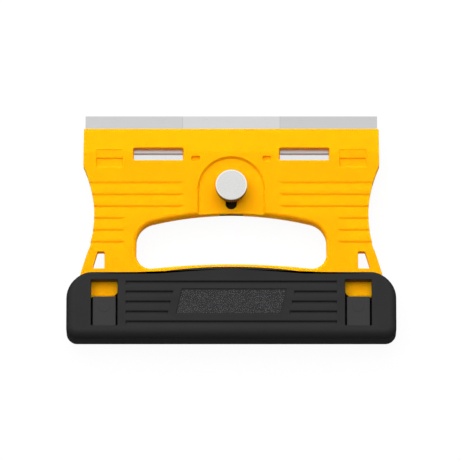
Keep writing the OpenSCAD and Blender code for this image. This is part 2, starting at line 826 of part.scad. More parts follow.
// Outside of the cover: its outline, stacked up with rounded edges
module cover_form() {
  steps = 6;
  rise = [for (k = [0:steps]) cover_edge_r * (1 - cos(k * 90 / steps))];
  depths = concat(rise, [for (k = [steps:-1:0]) rise[k]]);
  rings = [for (k = [0:len(depths) - 1]) let (
      depth = depths[k],
      z = k <= steps ? depth : cover_t - depth
    ) [for (p = mirrored(cover_side(round_in(cover_edge_r, depth), round_in(mouth_r, depth)))) [p[0], p[1], z]]];
  stack(rings);
}

// Grip grooves across one face of the cover
module cover_grooves(with_panel) {
  first_y = cover_side_y - grip_pitch;
  mid_y = first_y - 2 * grip_pitch;
  for (i = [0:4]) {
    y = first_y - i * grip_pitch;
    lean = panel_slant * (y - mid_y) / panel_len;
    gap_x = panel_w / 2 + panel_gap;
    if (with_panel && i > 0 && i < 4) {
      saw_groove(-grip_w / 2, lean - gap_x, y, cover_t, grip_depth, grip_rise, grip_run);
      saw_groove(lean + gap_x, grip_w / 2, y, cover_t, grip_depth, grip_rise, grip_run);
    } else {
      saw_groove(-grip_w / 2, grip_w / 2, y, cover_t, grip_depth, grip_rise, grip_run);
    }
  }
  if (with_panel) translate([0, mid_y, cover_t - panel_depth]) linear_extrude(height = over)
    polygon([
      [-panel_w / 2 - panel_slant / 2, -panel_len / 2], [panel_w / 2 - panel_slant / 2, -panel_len / 2],
      [panel_w / 2 + panel_slant / 2, panel_len / 2], [-panel_w / 2 + panel_slant / 2, panel_len / 2]
    ]);
}

module handle_cover() {
  color(black) difference() {
    cover_form();
    block(0, foot_w + 2 * cover_fit, heel_y + cover_floor, cover_side_y + 2 * cover_crown,
      split_z - half_t - cover_fit, pocket_top);
    both_sides() block(latch_x, latch_w, latch_low_y, latch_top_y, pocket_top - over, cover_t + over);
    cover_grooves(true);
    translate([0, 0, cover_t]) mirror([0, 0, 1]) cover_grooves(false);
  }
}

// Springy tongue of the cover, with a hook that reaches under the foot's skin
module latch_tab() {
  color(black) translate([latch_x, 0, 0]) {
    along_x(latch_w - 2 * tab_slit) polygon(concat(
      [[tab_end_y, tab_z], [tab_end_y, tab_top], [tab_root_y - tab_t / 2, tab_top]],
      arc([tab_root_y, tab_z + tab_t / 2], tab_t / 2, 180, 270, 8),
      [[tab_root_y, tab_z]]
    ));
    along_x(hook_w) polygon([
      [tab_end_y - hook_t, tab_z + 2 * nip], [tab_end_y - hook_t, arm_z], [nose_end_y, arm_z],
      [nose_end_y, hook_top], [nose_y, hook_top], [nose_y, arm_top],
      [tab_end_y, arm_top], [tab_end_y, tab_z + 2 * nip]
    ]);
  }
}

module left_latch_tab() { mirror([1, 0, 0]) latch_tab(); }
module right_latch_tab() { latch_tab(); }

front_shell();
rear_shell();
shell_screws();
blade_carrier();
blade_left();
blade_centre();
blade_right();
blade_pegs();
clamp_nut();
nut_rivets();
flat_washer();
spring_washer();
knob();
stud();
handle_cover();
left_latch_tab();
right_latch_tab();
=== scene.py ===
import json
import math

import bmesh
import bpy
from mathutils import Matrix, Vector

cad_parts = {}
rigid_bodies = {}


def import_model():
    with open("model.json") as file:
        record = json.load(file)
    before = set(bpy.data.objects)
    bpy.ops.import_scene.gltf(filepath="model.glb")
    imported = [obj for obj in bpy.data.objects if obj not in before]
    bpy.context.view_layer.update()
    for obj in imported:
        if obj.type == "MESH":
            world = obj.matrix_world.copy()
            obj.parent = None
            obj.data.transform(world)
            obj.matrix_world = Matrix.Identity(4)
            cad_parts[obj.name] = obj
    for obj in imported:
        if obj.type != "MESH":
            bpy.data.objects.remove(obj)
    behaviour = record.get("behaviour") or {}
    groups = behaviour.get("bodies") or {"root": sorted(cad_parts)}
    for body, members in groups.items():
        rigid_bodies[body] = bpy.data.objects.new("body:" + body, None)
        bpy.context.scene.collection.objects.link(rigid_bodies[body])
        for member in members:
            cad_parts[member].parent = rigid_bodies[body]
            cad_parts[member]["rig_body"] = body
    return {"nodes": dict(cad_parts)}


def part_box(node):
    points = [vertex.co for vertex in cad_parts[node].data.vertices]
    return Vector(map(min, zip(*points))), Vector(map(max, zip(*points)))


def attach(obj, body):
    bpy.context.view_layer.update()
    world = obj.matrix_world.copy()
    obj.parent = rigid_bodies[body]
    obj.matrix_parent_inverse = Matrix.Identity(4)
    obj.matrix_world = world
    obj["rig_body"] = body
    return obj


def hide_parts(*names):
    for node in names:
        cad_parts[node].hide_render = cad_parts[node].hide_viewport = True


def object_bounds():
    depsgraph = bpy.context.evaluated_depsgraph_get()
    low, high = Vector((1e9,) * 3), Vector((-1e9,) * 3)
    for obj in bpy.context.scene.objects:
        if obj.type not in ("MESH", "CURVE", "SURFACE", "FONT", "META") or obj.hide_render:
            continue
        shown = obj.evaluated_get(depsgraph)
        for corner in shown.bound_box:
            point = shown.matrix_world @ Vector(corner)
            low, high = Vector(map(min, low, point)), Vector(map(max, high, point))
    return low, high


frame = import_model()
cad_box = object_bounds()

# Rear shell: the back half of the frame, injection moulded in tough yellow plastic.
# The mould leaves softly rounded edges, a fine satin face and a parting line where the
# two shells meet. The room in which the nut slides is painted near-black, as painted shade for the
# deep shadow in the channel under the knob's slot.
mm = 0.001
number = "NodeSocketFloat"


def put(tree, kind, inputs=(), **settings):
    """A new node, with its settings, and with each input wired or set."""
    node = tree.nodes.new(kind)
    for name, value in settings.items():
        setattr(node, name, value)
    for key, value in dict(inputs).items():
        if isinstance(value, bpy.types.NodeSocket):
            tree.links.new(value, node.inputs[key])
        else:
            node.inputs[key].default_value = value
    return node


def calc(tree, operation, *values):
    """The result of one step of arithmetic on sockets or numbers."""
    return put(tree, "ShaderNodeMath", enumerate(values), operation=operation).outputs[0]


def new_group(name, kind, takes, gives):
    """A node group with its named inputs and outputs, and its two end nodes."""
    group = bpy.data.node_groups.new(name, kind)
    for label, socket in takes.items():
        group.interface.new_socket(label, in_out="INPUT", socket_type=socket)
    for label, socket in gives.items():
        group.interface.new_socket(label, in_out="OUTPUT", socket_type=socket)
    return group, group.nodes.new("NodeGroupInput"), group.nodes.new("NodeGroupOutput")


def new_texture(name, scale, scale_kind):
    """A group that takes a scale and a range of gloss, and gives shade, roughness and height."""
    return new_group(
        name, "ShaderNodeTree",
        {scale: scale_kind, "Gloss low": number, "Gloss high": number},
        {"Shade": number, "Roughness": number, "Height": number})


def give_texture(group, start, end, fine, fine_share, broad):
    """Mixes a fine and a broad noise into what a texture group gives. The fine one is the height."""
    broad_part = calc(group, "MULTIPLY", broad, 1 - fine_share)
    shade = calc(group, "MULTIPLY_ADD", fine, fine_share, broad_part)
    rough = put(group, "ShaderNodeMapRange", {
        "Value": shade, "From Min": 0.3, "From Max": 0.7,
        "To Min": start.outputs["Gloss low"], "To Max": start.outputs["Gloss high"]})
    group.links.new(shade, end.inputs["Shade"])
    group.links.new(rough.outputs["Result"], end.inputs["Roughness"])
    group.links.new(fine, end.inputs["Height"])
    return group


def moulded_grain():
    """Fine spark texture of a mould, with slow drifts of shade and gloss over it."""
    group, start, end = new_texture("moulded_grain", "Grains per metre", number)
    where = put(group, "ShaderNodeTexCoord").outputs["Object"]
    grain = put(group, "ShaderNodeTexNoise", {
        "Vector": where, "Scale": start.outputs["Grains per metre"], "Detail": 3.0, "Roughness": 0.6})
    drift = put(group, "ShaderNodeTexNoise", {"Vector": where, "Scale": 45.0, "Detail": 4.0})
    return give_texture(
        group, start, end, fine=grain.outputs["Fac"], fine_share=0.35, broad=drift.outputs["Fac"])


def new_finish(name, **constants):
    """A material, its tree and its shader, with the shader's constant numbers set."""
    material = bpy.data.materials.new(name)
    material.use_nodes = True
    shader = material.node_tree.nodes["Principled BSDF"]
    for label, value in constants.items():
        shader.inputs[label.replace("_", " ")].default_value = value
    return material, material.node_tree, shader


def textured(name, texture_group, values, deep, pale, strength, depth, **constants):
    """A material whose shade, gloss and bump come from one texture group."""
    material, tree, shader = new_finish(name, **constants)
    texture = put(tree, "ShaderNodeGroup", node_tree=texture_group)
    for label, value in values.items():
        texture.inputs[label].default_value = value
    shade = put(tree, "ShaderNodeMix", {"Factor": texture.outputs["Shade"]}, data_type="RGBA")
    shade.inputs["A"].default_value = (*deep, 1)
    shade.inputs["B"].default_value = (*pale, 1)
    bump = put(tree, "ShaderNodeBump", {
        "Height": texture.outputs["Height"], "Strength": strength, "Distance": depth})
    tree.links.new(shade.outputs["Result"], shader.inputs["Base Color"])
    tree.links.new(texture.outputs["Roughness"], shader.inputs["Roughness"])
    tree.links.new(bump.outputs["Normal"], shader.inputs["Normal"])
    return material


grain_group = moulded_grain()


def moulded_plastic(name, grains, gloss, **looks):
    """A moulded plastic: two close shades over the grain of its mould."""
    values = {"Grains per metre": grains, "Gloss low": gloss[0], "Gloss high": gloss[1]}
    return textured(name, grain_group, values, strength=0.5, **looks)


def link(name, form):
    """An object made of a bmesh, which is then freed."""
    mesh = bpy.data.meshes.new(name)
    form.to_mesh(mesh)
    form.free()
    piece = bpy.data.objects.new(name, mesh)
    bpy.context.scene.collection.objects.link(piece)
    return piece


def settle(piece):
    """Turns a piece with modifiers into a plain mesh."""
    graph = bpy.context.evaluated_depsgraph_get()
    mesh = bpy.data.meshes.new_from_object(
        piece.evaluated_get(graph), preserve_all_data_layers=True, depsgraph=graph)
    piece.modifiers.clear()
    piece.data = mesh
    return piece


def smooth(piece, sharp_angle):
    """Smooth shading, with the edges over an angle in degrees kept sharp."""
    piece.data.shade_smooth()
    piece.data.set_sharp_from_angle(angle=math.radians(sharp_angle))


crease = math.radians(32)


def runs_on(edge, corner, creases):
    """The creases that carry an edge on, past one of its corners, with only a slight turn."""
    ahead = corner.co - edge.other_vert(corner).co
    others = [e for e in corner.link_edges if e != edge and e in creases]
    return [e for e in others if (e.other_vert(corner).co - corner.co).angle(ahead, 0) < crease]


room_share = 0.45


def rounding_room(edge, creases):
    """The rounding that an edge has room for, beside the edges that branch off at its ends."""
    widths = [1.0]
    for corner in edge.verts:
        along = edge.other_vert(corner).co - corner.co
        for branch in set(corner.link_edges) - {edge, *runs_on(edge, corner, creases)}:
            aside = branch.other_vert(corner).co - corner.co
            widths.append(aside.length * math.sin(aside.angle(along, 0)))
    return room_share * min(widths)


def soften(piece, radius, edge_share):
    """Rounds the creases of a piece: edge_share says how much of the radius each edge takes.

    A run of creases takes one width, which the narrowest place on it has room for.
    """
    form = bmesh.new()
    form.from_mesh(piece.data)
    layers = form.edges.layers.float
    weights = layers.get("bevel_weight_edge") or layers.new("bevel_weight_edge")
    creases = {e for e in form.edges if len(e.link_faces) == 2 and e.calc_face_angle() > crease}
    left = set(creases)
    while left:
        run = [left.pop()]
        for edge in run:
            fresh = {e for corner in edge.verts for e in runs_on(edge, corner, creases)} & left
            left -= fresh
            run += fresh
        width = min(rounding_room(edge, creases) for edge in run)
        for edge in run:
            edge[weights] = min(edge_share(edge), width / radius)
    form.to_mesh(piece.data)
    form.free()
    bevel = piece.modifiers.new("rounding", "BEVEL")
    bevel.limit_method = "WEIGHT"
    bevel.width = radius
    bevel.segments = 2
    bevel.use_clamp_overlap = False
    settle(piece)
    smooth(piece, sharp_angle=40)
    normals = piece.modifiers.new("even normals", "WEIGHTED_NORMAL")
    normals.keep_sharp = True
    normals.weight = 100
    return settle(piece)


weld = 0.002 * mm
cut_reach = 0.001 * mm
flat_angle = math.radians(0.4)


def soft_copy(node, name, radius, cuts_x=(), cuts_y=(), edge_share=lambda edge: 1.0):
    """A copy of a piece of the frame, with plain flat faces and rounded edges.

    The cuts, in millimetres, cross the openings, so that flat faces are left without holes.
    """
    form = bmesh.new()
    form.from_mesh(frame["nodes"][node].data)
    bmesh.ops.remove_doubles(form, verts=form.verts, dist=weld)
    planes = [((x * mm, 0, 0), (1, 0, 0)) for x in cuts_x]
    planes += [((0, y * mm, 0), (0, 1, 0)) for y in cuts_y]
    for point, normal in planes:
        everything = [*form.verts, *form.edges, *form.faces]
        cut = bmesh.ops.bisect_plane(
            form, geom=everything, dist=cut_reach, plane_co=point, plane_no=normal)
        for edge in [part for part in cut["geom_cut"] if isinstance(part, bmesh.types.BMEdge)]:
            edge.seam = True
    bmesh.ops.dissolve_limit(
        form, angle_limit=flat_angle, verts=form.verts, edges=form.edges, delimit={"SEAM"})
    piece = link(name, form)
    for attribute in [a for a in piece.data.attributes if a.name == "custom_normal"]:
        piece.data.attributes.remove(attribute)
    return soften(piece, radius, edge_share)


def stands_for(piece, node, *finishes):
    """Gives a piece its finishes and puts it in the place of its node."""
    piece.data.materials.clear()
    for finish in finishes:
        piece.data.materials.append(finish)
    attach(piece, frame["nodes"][node]["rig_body"])
    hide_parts(node)


def second_finish(piece, takes_it):
    """Gives the second finish of a piece to the faces that take it."""
    for face in piece.data.polygons:
        face.material_index = int(takes_it(face))


mould_edge = 0.45 * mm
parting_share = 0.35
channel_z = 1.6 * mm
split_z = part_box("rear_shell")[1].z
split_reach = 0.01 * mm


def shell_edge(edge):
    """Edges in the channel stay sharp, and the parting line is rounded a little."""
    heights = [abs(corner.co.z - split_z) for corner in edge.verts]
    if max(heights) < split_reach:
        return parting_share
    return 1.0 if min(heights) > channel_z else 0.0


nut_room = Vector((6.15, 24.7, 6.5)) * mm
nut_room_end = 8 * mm


def in_nut_room(face):
    """Whether a face is in the room in which the nut slides."""
    x, y, z = face.center
    return abs(x) < nut_room.x and nut_room_end < y < nut_room.y and z > nut_room.z


yellow_plastic = moulded_plastic(
    "yellow_plastic", deep=(0.94, 0.40, 0.001), pale=(0.99, 0.44, 0.0015), grains=2600.0,
    gloss=(0.40, 0.52), depth=0.02 * mm, Specular_IOR_Level=0.05, Subsurface_Weight=0.9,
    Subsurface_Radius=(1.0, 0.35, 0.03), Subsurface_Scale=2.0 * mm)
# Painted shade: a near-black finish for the faces in the nut's room, for the shadow deep in the
# channel.
painted_shade_plastic = moulded_plastic(
    "painted_shade_plastic", deep=(0.020, 0.010, 0.006), pale=(0.030, 0.016, 0.010), grains=1500.0,
    gloss=(0.35, 0.50), depth=0.01 * mm, Specular_IOR_Level=0.3)
shell_openings = [18.2, 32.57, 37.6, 55.2, 59.55, 62.5, 67.6]
shell_cuts_x = [0] + [side * x for side in (-1, 1) for x in shell_openings]
shell_cuts_y = [38.6, 20, 13.6, -36]
rear_shell = soft_copy(
    "rear_shell", "rear_shell_moulding", mould_edge, shell_cuts_x, shell_cuts_y, shell_edge)
stands_for(rear_shell, "rear_shell", yellow_plastic, painted_shade_plastic)
# The faces in the nut's room take the painted shade.
second_finish(rear_shell, in_nut_room)

# Blade carrier: a joggled strip of stainless sheet with a tang for the clamp nut.
# It is stamped and polished, so its face is bright, with fine lines along its length.


def drawn_lines():
    """Fine straight lines that rolling or grinding leaves on metal, under faint clouds."""
    group, start, end = new_texture("drawn_lines", "Stretch", "NodeSocketVector")
    where = put(group, "ShaderNodeTexCoord").outputs["Object"]
    along = put(group, "ShaderNodeMapping", {"Vector": where, "Scale": start.outputs["Stretch"]})
    lines = put(group, "ShaderNodeTexNoise", {
        "Vector": along.outputs["Vector"], "Scale": 1.0, "Detail": 4.0})
    clouds = put(group, "ShaderNodeTexNoise", {"Vector": where, "Scale": 90.0, "Detail": 2.0})
    return give_texture(
        group, start, end, fine=lines.outputs["Fac"], fine_share=0.6, broad=clouds.outputs["Fac"])


lines_group = drawn_lines()


def bare_metal(name, stretch, gloss, **looks):
    """A bare or plated metal: two close shades over its drawn lines."""
    values = {"Stretch": stretch, "Gloss low": gloss[0], "Gloss high": gloss[1]}
    return textured(name, lines_group, values, strength=0.4, Metallic=1.0, **looks)


bright_steel = bare_metal(
    "bright_steel", deep=(0.74, 0.74, 0.74), pale=(0.88, 0.88, 0.88), stretch=(60, 5000, 5000),
    gloss=(0.16, 0.26), depth=0.004 * mm)
stud_place = 19.9
peg_place = 45.2
carrier_edge = 0.12 * mm
carrier = soft_copy(
    "blade_carrier", "blade_carrier_plate", carrier_edge, [0], [peg_place, stud_place])
stands_for(carrier, "blade_carrier", bright_steel)

# Clamp nut: a small plate nut, cut from steel bar, tapped and blackened.
# Two rivets hold it under the carrier's tang, so that it can't turn with the stud.
black_oxide = bare_metal(
    "black_oxide", deep=(0.035, 0.034, 0.034), pale=(0.075, 0.073, 0.072),
    stretch=(2500, 2500, 2500), gloss=(0.38, 0.55), depth=0.01 * mm)
nut_edge = 0.2 * mm
nut = soft_copy("clamp_nut", "clamp_nut_plate", nut_edge, [0], [stud_place])
stands_for(nut, "clamp_nut", black_oxide)

# Pegs and rivets: cut from steel wire and zinc plated, and riveted into the carrier.
# One of each kind is turned here, and a tree of nodes sets a copy of it at every place
# where the frame has one.


def turned(profile, sides):
    """A round form about Z, from radius and height pairs that start and end on the axis."""
    form = bmesh.new()
    rings = []
    for radius, height in profile:
        angles = [2 * math.pi * i / sides for i in range(sides if radius > 0 else 1)]
        ring = [(radius * math.cos(a), radius * math.sin(a), height) for a in angles]
        rings.append([form.verts.new(point) for point in ring])
    for low, high in zip(rings, rings[1:]):
        for i in range(sides):
            j = i + 1
            corners = [low[i % len(low)], low[j % len(low)], high[j % len(high)], high[i % len(high)]]
            form.faces.new(dict.fromkeys(corners))
    bmesh.ops.recalc_face_normals(form, faces=form.faces)
    return form


def places(node):
    """The middle of every separate solid in a node, at the solid's lowest height."""
    form = bmesh.new()
    form.from_mesh(frame["nodes"][node].data)
    bmesh.ops.remove_doubles(form, verts=form.verts, dist=weld)
    left = set(form.verts)
    found = []
    while left:
        solid = {left.pop()}
        ends = list(solid)
        while ends:
            corner = ends.pop()
            fresh = {e.other_vert(corner) for e in corner.link_edges} & left
            left -= fresh
            solid |= fresh
            ends += fresh
        low = Vector(min(v.co[axis] for v in solid) for axis in range(3))
        high = Vector(max(v.co[axis] for v in solid) for axis in range(3))
        found.append(Vector(((low.x + high.x) / 2, (low.y + high.y) / 2, low.z)))
    form.free()
    return sorted(found, key=lambda point: (point.x, point.y))


def end_tree(tree, geometry, finish, end):
    """Ends a tree of geometry nodes: its copies become real and take their finish."""
    real = put(tree, "GeometryNodeRealizeInstances", {"Geometry": geometry})
    done = put(tree, "GeometryNodeSetMaterial", {
        "Geometry": real.outputs["Geometry"], "Material": finish})
    tree.links.new(done.outputs["Geometry"], end.inputs["Geometry"])
    return tree


def set_out_tree():
    """Sets a copy of one fastener at every point, each turned a step further than the last."""
    tree, start, end = new_group(
        "set_out", "GeometryNodeTree",
        {"Points": "NodeSocketGeometry", "Fastener": "NodeSocketObject", "Turn": number,
         "Finish": "NodeSocketMaterial"},
        {"Geometry": "NodeSocketGeometry"})
    one = put(tree, "GeometryNodeObjectInfo", {"Object": start.outputs["Fastener"]})
    index = put(tree, "GeometryNodeInputIndex").outputs["Index"]
    turn = calc(tree, "MULTIPLY", index, start.outputs["Turn"])
    angle = put(tree, "ShaderNodeCombineXYZ", {"Z": turn})
    copies = put(tree, "GeometryNodeInstanceOnPoints", {
        "Points": start.outputs["Points"], "Instance": one.outputs["Geometry"],
        "Rotation": angle.outputs["Vector"]})
    return end_tree(tree, copies.outputs["Instances"], start.outputs["Finish"], end)


def run_tree(piece, tree, values):
    """Runs a tree of nodes on a piece, with its named inputs set, and keeps the plain mesh."""
    modifier = piece.modifiers.new(tree.name, "NODES")
    modifier.node_group = tree
    for socket in tree.interface.items_tree:
        if socket.in_out == "INPUT" and socket.name in values:
            modifier[socket.identifier] = values[socket.name]
    return settle(piece)


set_out_nodes = set_out_tree()


def fasteners(name, node, one, turn, finish):
    """Like fasteners as one piece that stands for a node."""
    points = bmesh.new()
    for point in places(node):
        points.verts.new(point)
    row = link(name, points)
    run_tree(row, set_out_nodes, {"Fastener": one, "Turn": turn, "Finish": finish})
    bpy.data.objects.remove(one)
    smooth(row, sharp_angle=35)
    stands_for(row, node, finish)


def pin(name, node, radius, edge, sides):
    """A round pin with chamfered ends, as long as the solids of its node are high."""
    low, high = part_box(node)
    height = high.z - low.z
    profile = [
        (0, 0), (radius - edge, 0), (radius, edge), (radius, height - edge),
        (radius - edge, height), (0, height)]
    return link(name, turned(profile, sides))


zinc_steel = bare_metal(
    "zinc_steel", deep=(0.50, 0.51, 0.52), pale=(0.64, 0.64, 0.63), stretch=(1800, 1800, 1800),
    gloss=(0.28, 0.42), depth=0.006 * mm)
peg = pin("peg", "blade_pegs", radius=2 * mm, edge=0.2 * mm, sides=40)
fasteners("blade_peg_row", "blade_pegs", peg, 0.0, zinc_steel)
rivet = pin("rivet", "nut_rivets", radius=0.8 * mm, edge=0.12 * mm, sides=24)
fasteners("nut_rivet_pair", "nut_rivets", rivet, 0.0, zinc_steel)

# Blades: three strips of hardened steel, ground on both faces and bevelled to the edge.
# They sit on the pegs side by side, and differ a little in shade from one to the next.
# Their ends are painted near-black, as painted shade in the hairline seam between neighbours.
blade_deep = Vector((0.62, 0.62, 0.625))
blade_pale = Vector((0.74, 0.74, 0.745))
blade_tones = {"blade_left": 0.97, "blade_centre": 1.05, "blade_right": 0.93}
# Painted shade for the seams: a near-black finish on the blade ends, for the shadow in the hairline
# between blades.
painted_seam_shade = bare_metal(
    "painted_seam_shade", deep=(0.08, 0.08, 0.08), pale=(0.14, 0.14, 0.14),
    stretch=(2500, 2500, 2500), gloss=(0.45, 0.60), depth=0.01 * mm)
blade_edge = 0.07 * mm
seam_share = 0.0019
end_tilt = 0.2
for blade, tone in blade_tones.items():
    strip = soft_copy(blade, blade + "_strip", blade_edge, [0], [peg_place])
    blade_low, blade_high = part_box(blade)
    middle = Matrix.Translation(((blade_low.x + blade_high.x) / 2, 0, 0))
    longer = Matrix.Diagonal((1 + seam_share, 1, 1, 1))
    strip.data.transform(middle @ longer @ middle.inverted())
    ground_steel = bare_metal(
        blade + "_steel", deep=blade_deep * tone, pale=blade_pale * tone,
        stretch=(90, 6000, 6000), gloss=(0.26, 0.36), depth=0.003 * mm)
    stands_for(strip, blade, ground_steel, painted_seam_shade)
    second_finish(strip, lambda face: abs(face.normal.x) > end_tilt)

# Front shell: the front half of the frame, from the same plastic as the rear one.
# It is moulded with the ramped jaw, the windows on the carrier, the knob's recess and the
# grip ribs, and the screws draw it onto the rear shell.
front_shell = soft_copy(
    "front_shell", "front_shell_moulding", mould_edge, shell_cuts_x, shell_cuts_y, shell_edge)
stands_for(front_shell, "front_shell", yellow_plastic)

# Shell screws: pan heads with a cross recess, of zinc plated steel, sunk in the back.
# They cut their own thread in the front shell, and each stops at a turn of its own.


def grooved_tree():
    """Cuts V grooves into a round form: straight ones as a knurl, or one helix as a thread."""
    tree, start, end = new_group(
        "grooved", "GeometryNodeTree",
        {"Geometry": "NodeSocketGeometry", "Grooves": number, "Turns per metre": number,
         "Depth": number, "Low": number, "High": number, "Least radius": number,
         "Finish": "NodeSocketMaterial"},
        {"Geometry": "NodeSocketGeometry"})
    given = start.outputs
    position = put(tree, "GeometryNodeInputPosition").outputs["Position"]
    x, y, z = put(tree, "ShaderNodeSeparateXYZ", {"Vector": position}).outputs
    squares = calc(tree, "ADD", calc(tree, "MULTIPLY", x, x), calc(tree, "MULTIPLY", y, y))
    radius = calc(tree, "SQRT", squares)
    around = calc(tree, "MULTIPLY", calc(tree, "ARCTAN2", y, x), 1 / (2 * math.pi))
    phase = calc(tree, "SUBTRACT", calc(tree, "MULTIPLY", around, given["Grooves"]),
                 calc(tree, "MULTIPLY", z, given["Turns per metre"]))
    wave = calc(tree, "MULTIPLY", calc(tree, "PINGPONG", phase, 0.5), 2.0)
    in_height = calc(tree, "MULTIPLY", calc(tree, "GREATER_THAN", z, given["Low"]),
                     calc(tree, "LESS_THAN", z, given["High"]))
    outside = calc(tree, "GREATER_THAN", radius, given["Least radius"])
    cut = calc(tree, "MULTIPLY", in_height, outside)
    radius_share = calc(tree, "DIVIDE", calc(tree, "MULTIPLY", wave, given["Depth"]), radius)
    inward = calc(tree, "MULTIPLY", calc(tree, "MULTIPLY", radius_share, cut), -1.0)
    step = put(tree, "ShaderNodeCombineXYZ", {
        "X": calc(tree, "MULTIPLY", x, inward), "Y": calc(tree, "MULTIPLY", y, inward)})
    moved = put(tree, "GeometryNodeSetPosition", {
        "Geometry": given["Geometry"], "Offset": step.outputs["Vector"]})
    return end_tree(tree, moved.outputs["Geometry"], given["Finish"], end)


grooved_nodes = grooved_tree()
screw_low, screw_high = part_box("shell_screws")
screw_h = screw_high.z - screw_low.z
screw_turn = 1.1
head_r = 2.75 * mm
head_h = 1.8 * mm
head_dome = 0.5 * mm
shank_r = 1.45 * mm
tip_r = 0.35 * shank_r
tip_len = 0.9 * mm
tip_low = screw_h - tip_len
thread_pitch = 1.1 * mm
rings_per_turn = 8
thread_step = thread_pitch / rings_per_turn
cross_w = 0.9 * mm
cross_len = 2.9 * mm
cross_d = 1.2 * mm
dome_angles = [math.radians(a) for a in range(0, 91, 15)]
dome = [(head_r * math.sin(a), head_dome * (1 - math.cos(a))) for a in dome_angles]
thread_rings = int((tip_low - head_h) / thread_step) + 1
thread = [(shank_r, head_h + thread_step * i) for i in range(thread_rings)]
screw_profile = dome + [(head_r, head_h)] + thread + [(tip_r, screw_h), (0, screw_h)]
screw = link("screw", turned(screw_profile, sides=40))
run_tree(screw, grooved_nodes, {
    "Grooves": 1.0, "Turns per metre": 1 / thread_pitch, "Depth": 0.4 * mm,
    "Low": head_h + thread_step, "High": tip_low, "Least radius": shank_r * 0.9,
    "Finish": zinc_steel})
recess = bmesh.new()
for size in ((cross_len, cross_w), (cross_w, cross_len)):
    bar = bmesh.ops.create_cube(recess, size=1.0)["verts"]
    bmesh.ops.scale(recess, vec=(*size, 2 * cross_d), verts=bar)
cutter = link("cross_recess", recess)
cross = screw.modifiers.new("cross recess", "BOOLEAN")
cross.object = cutter
cross.operation = "DIFFERENCE"
cross.solver = "EXACT"
cross.use_self = True
settle(screw)
bpy.data.objects.remove(cutter)
fasteners("shell_screw_set", "shell_screws", screw, screw_turn, zinc_steel)

# Stud: the shank of the clamp screw, of blackened steel, pressed into the knob.
# Its thread is rolled, and runs in the plate nut below the carrier's tang.
stud_low, stud_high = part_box("stud")
stud_x, stud_y = (stud_low.x + stud_high.x) / 2, (stud_low.y + stud_high.y) / 2
stud_r = (stud_high.x - stud_low.x) / 2
stud_h = stud_high.z - stud_low.z
stud_tip = 0.5 * mm
stud_pitch = 0.8 * mm
stud_step = stud_pitch / rings_per_turn
threaded_h = 8.4 * mm
stud_rings = int((threaded_h - stud_tip) / stud_step) + 1
stud_profile = [(0, 0), (stud_r - stud_tip, 0)]
stud_profile += [(stud_r, stud_tip + stud_step * i) for i in range(stud_rings)]
stud_profile += [(stud_r, stud_h), (0, stud_h)]
stud = link("stud_threaded", turned(stud_profile, sides=48))
run_tree(stud, grooved_nodes, {
    "Grooves": 1.0, "Turns per metre": 1 / stud_pitch, "Depth": 0.42 * mm,
    "Low": stud_tip - stud_step / 2, "High": threaded_h - stud_step,
    "Least radius": stud_r * 0.95, "Finish": black_oxide})
stud.data.transform(Matrix.Translation((stud_x, stud_y, stud_low.z)))
smooth(stud, sharp_angle=40)
stands_for(stud, "stud", black_oxide)

# Washers: a flat one of zinc plated steel that lies on the shell, and a split spring one
# of blackened steel between it and the knob. Both are loose on the stud.
flat_edge = 0.15 * mm
spring_edge = 0.12 * mm
split_place = 0.1
flat_washer = soft_copy("flat_washer", "flat_washer_ring", flat_edge, [0], [stud_place])
stands_for(flat_washer, "flat_washer", zinc_steel)
spring_washer = soft_copy(
    "spring_washer", "spring_washer_ring", spring_edge, [split_place], [stud_place])
stands_for(spring_washer, "spring_washer", black_oxide)

# Knob: a head of turned aluminium with chamfered edges and a straight knurl, with a collar
# below the head that is coloured near-black. The face keeps the fine rings of the turning tool.
# The chamfered rim is painted pale as a painted highlight, and the knurled side is painted dark as
# painted shade.
knob_low, knob_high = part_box("knob")
knob_r = (knob_high.x - knob_low.x) / 2
knob_h = knob_high.z - knob_low.z
collar_r = 4.8 * mm
collar_h = 2.2 * mm
collar_edge = 0.2 * mm
chamfer = 0.6 * mm
crown = 0.25 * mm
face_r = knob_r - chamfer
face_line = 0.1 * mm
bore_gap = 0.03 * mm
bore_r = stud_r + bore_gap
seat_h = stud_high.z - knob_low.z
knurl_gap = 0.1 * mm
knurl_low = collar_h + chamfer + knurl_gap
knurl_high = knob_h - chamfer - knurl_gap
knurl_run = 0.4 * mm
knob_profile = [
    (0, seat_h), (bore_r, seat_h), (bore_r, 0), (collar_r - collar_edge, 0),
    (collar_r, collar_edge), (collar_r, collar_h), (face_r, collar_h),
    (knob_r, collar_h + chamfer), (knob_r, knurl_low), (knob_r, knurl_low + knurl_run),
    (knob_r, knurl_high - knurl_run), (knob_r, knurl_high), (knob_r, knob_h - crown),
    (face_r, knob_h), (face_r - face_line, knob_h), (0, knob_h)]
knob = link("knob_turned", turned(knob_profile, sides=288))
turned_metal, knob_tree, knob_shader = new_finish(
    "turned_aluminium", Metallic=1.0, Anisotropic=0.6)
run_tree(knob, grooved_nodes, {
    "Grooves": 48.0, "Turns per metre": 0.0, "Depth": 0.35 * mm,
    "Low": knurl_low + knurl_run / 2, "High": knurl_high - knurl_run / 2,
    "Least radius": knob_r * 0.95, "Finish": turned_metal})
knob.data.transform(Matrix.Translation((stud_x, stud_y, knob_low.z)))
smooth(knob, sharp_angle=25)
spot = put(knob_tree, "ShaderNodeTexCoord").outputs["Object"]
centred = put(knob_tree, "ShaderNodeMapping", {
    "Vector": spot, "Location": (-stud_x, -stud_y, 0.0)})
flat = put(knob_tree, "ShaderNodeVectorMath", {
    0: centred.outputs["Vector"], 1: (1.0, 1.0, 0.0)}, operation="MULTIPLY")
reach = put(knob_tree, "ShaderNodeVectorMath", {0: flat.outputs["Vector"]}, operation="LENGTH")
from_axis = reach.outputs["Value"]
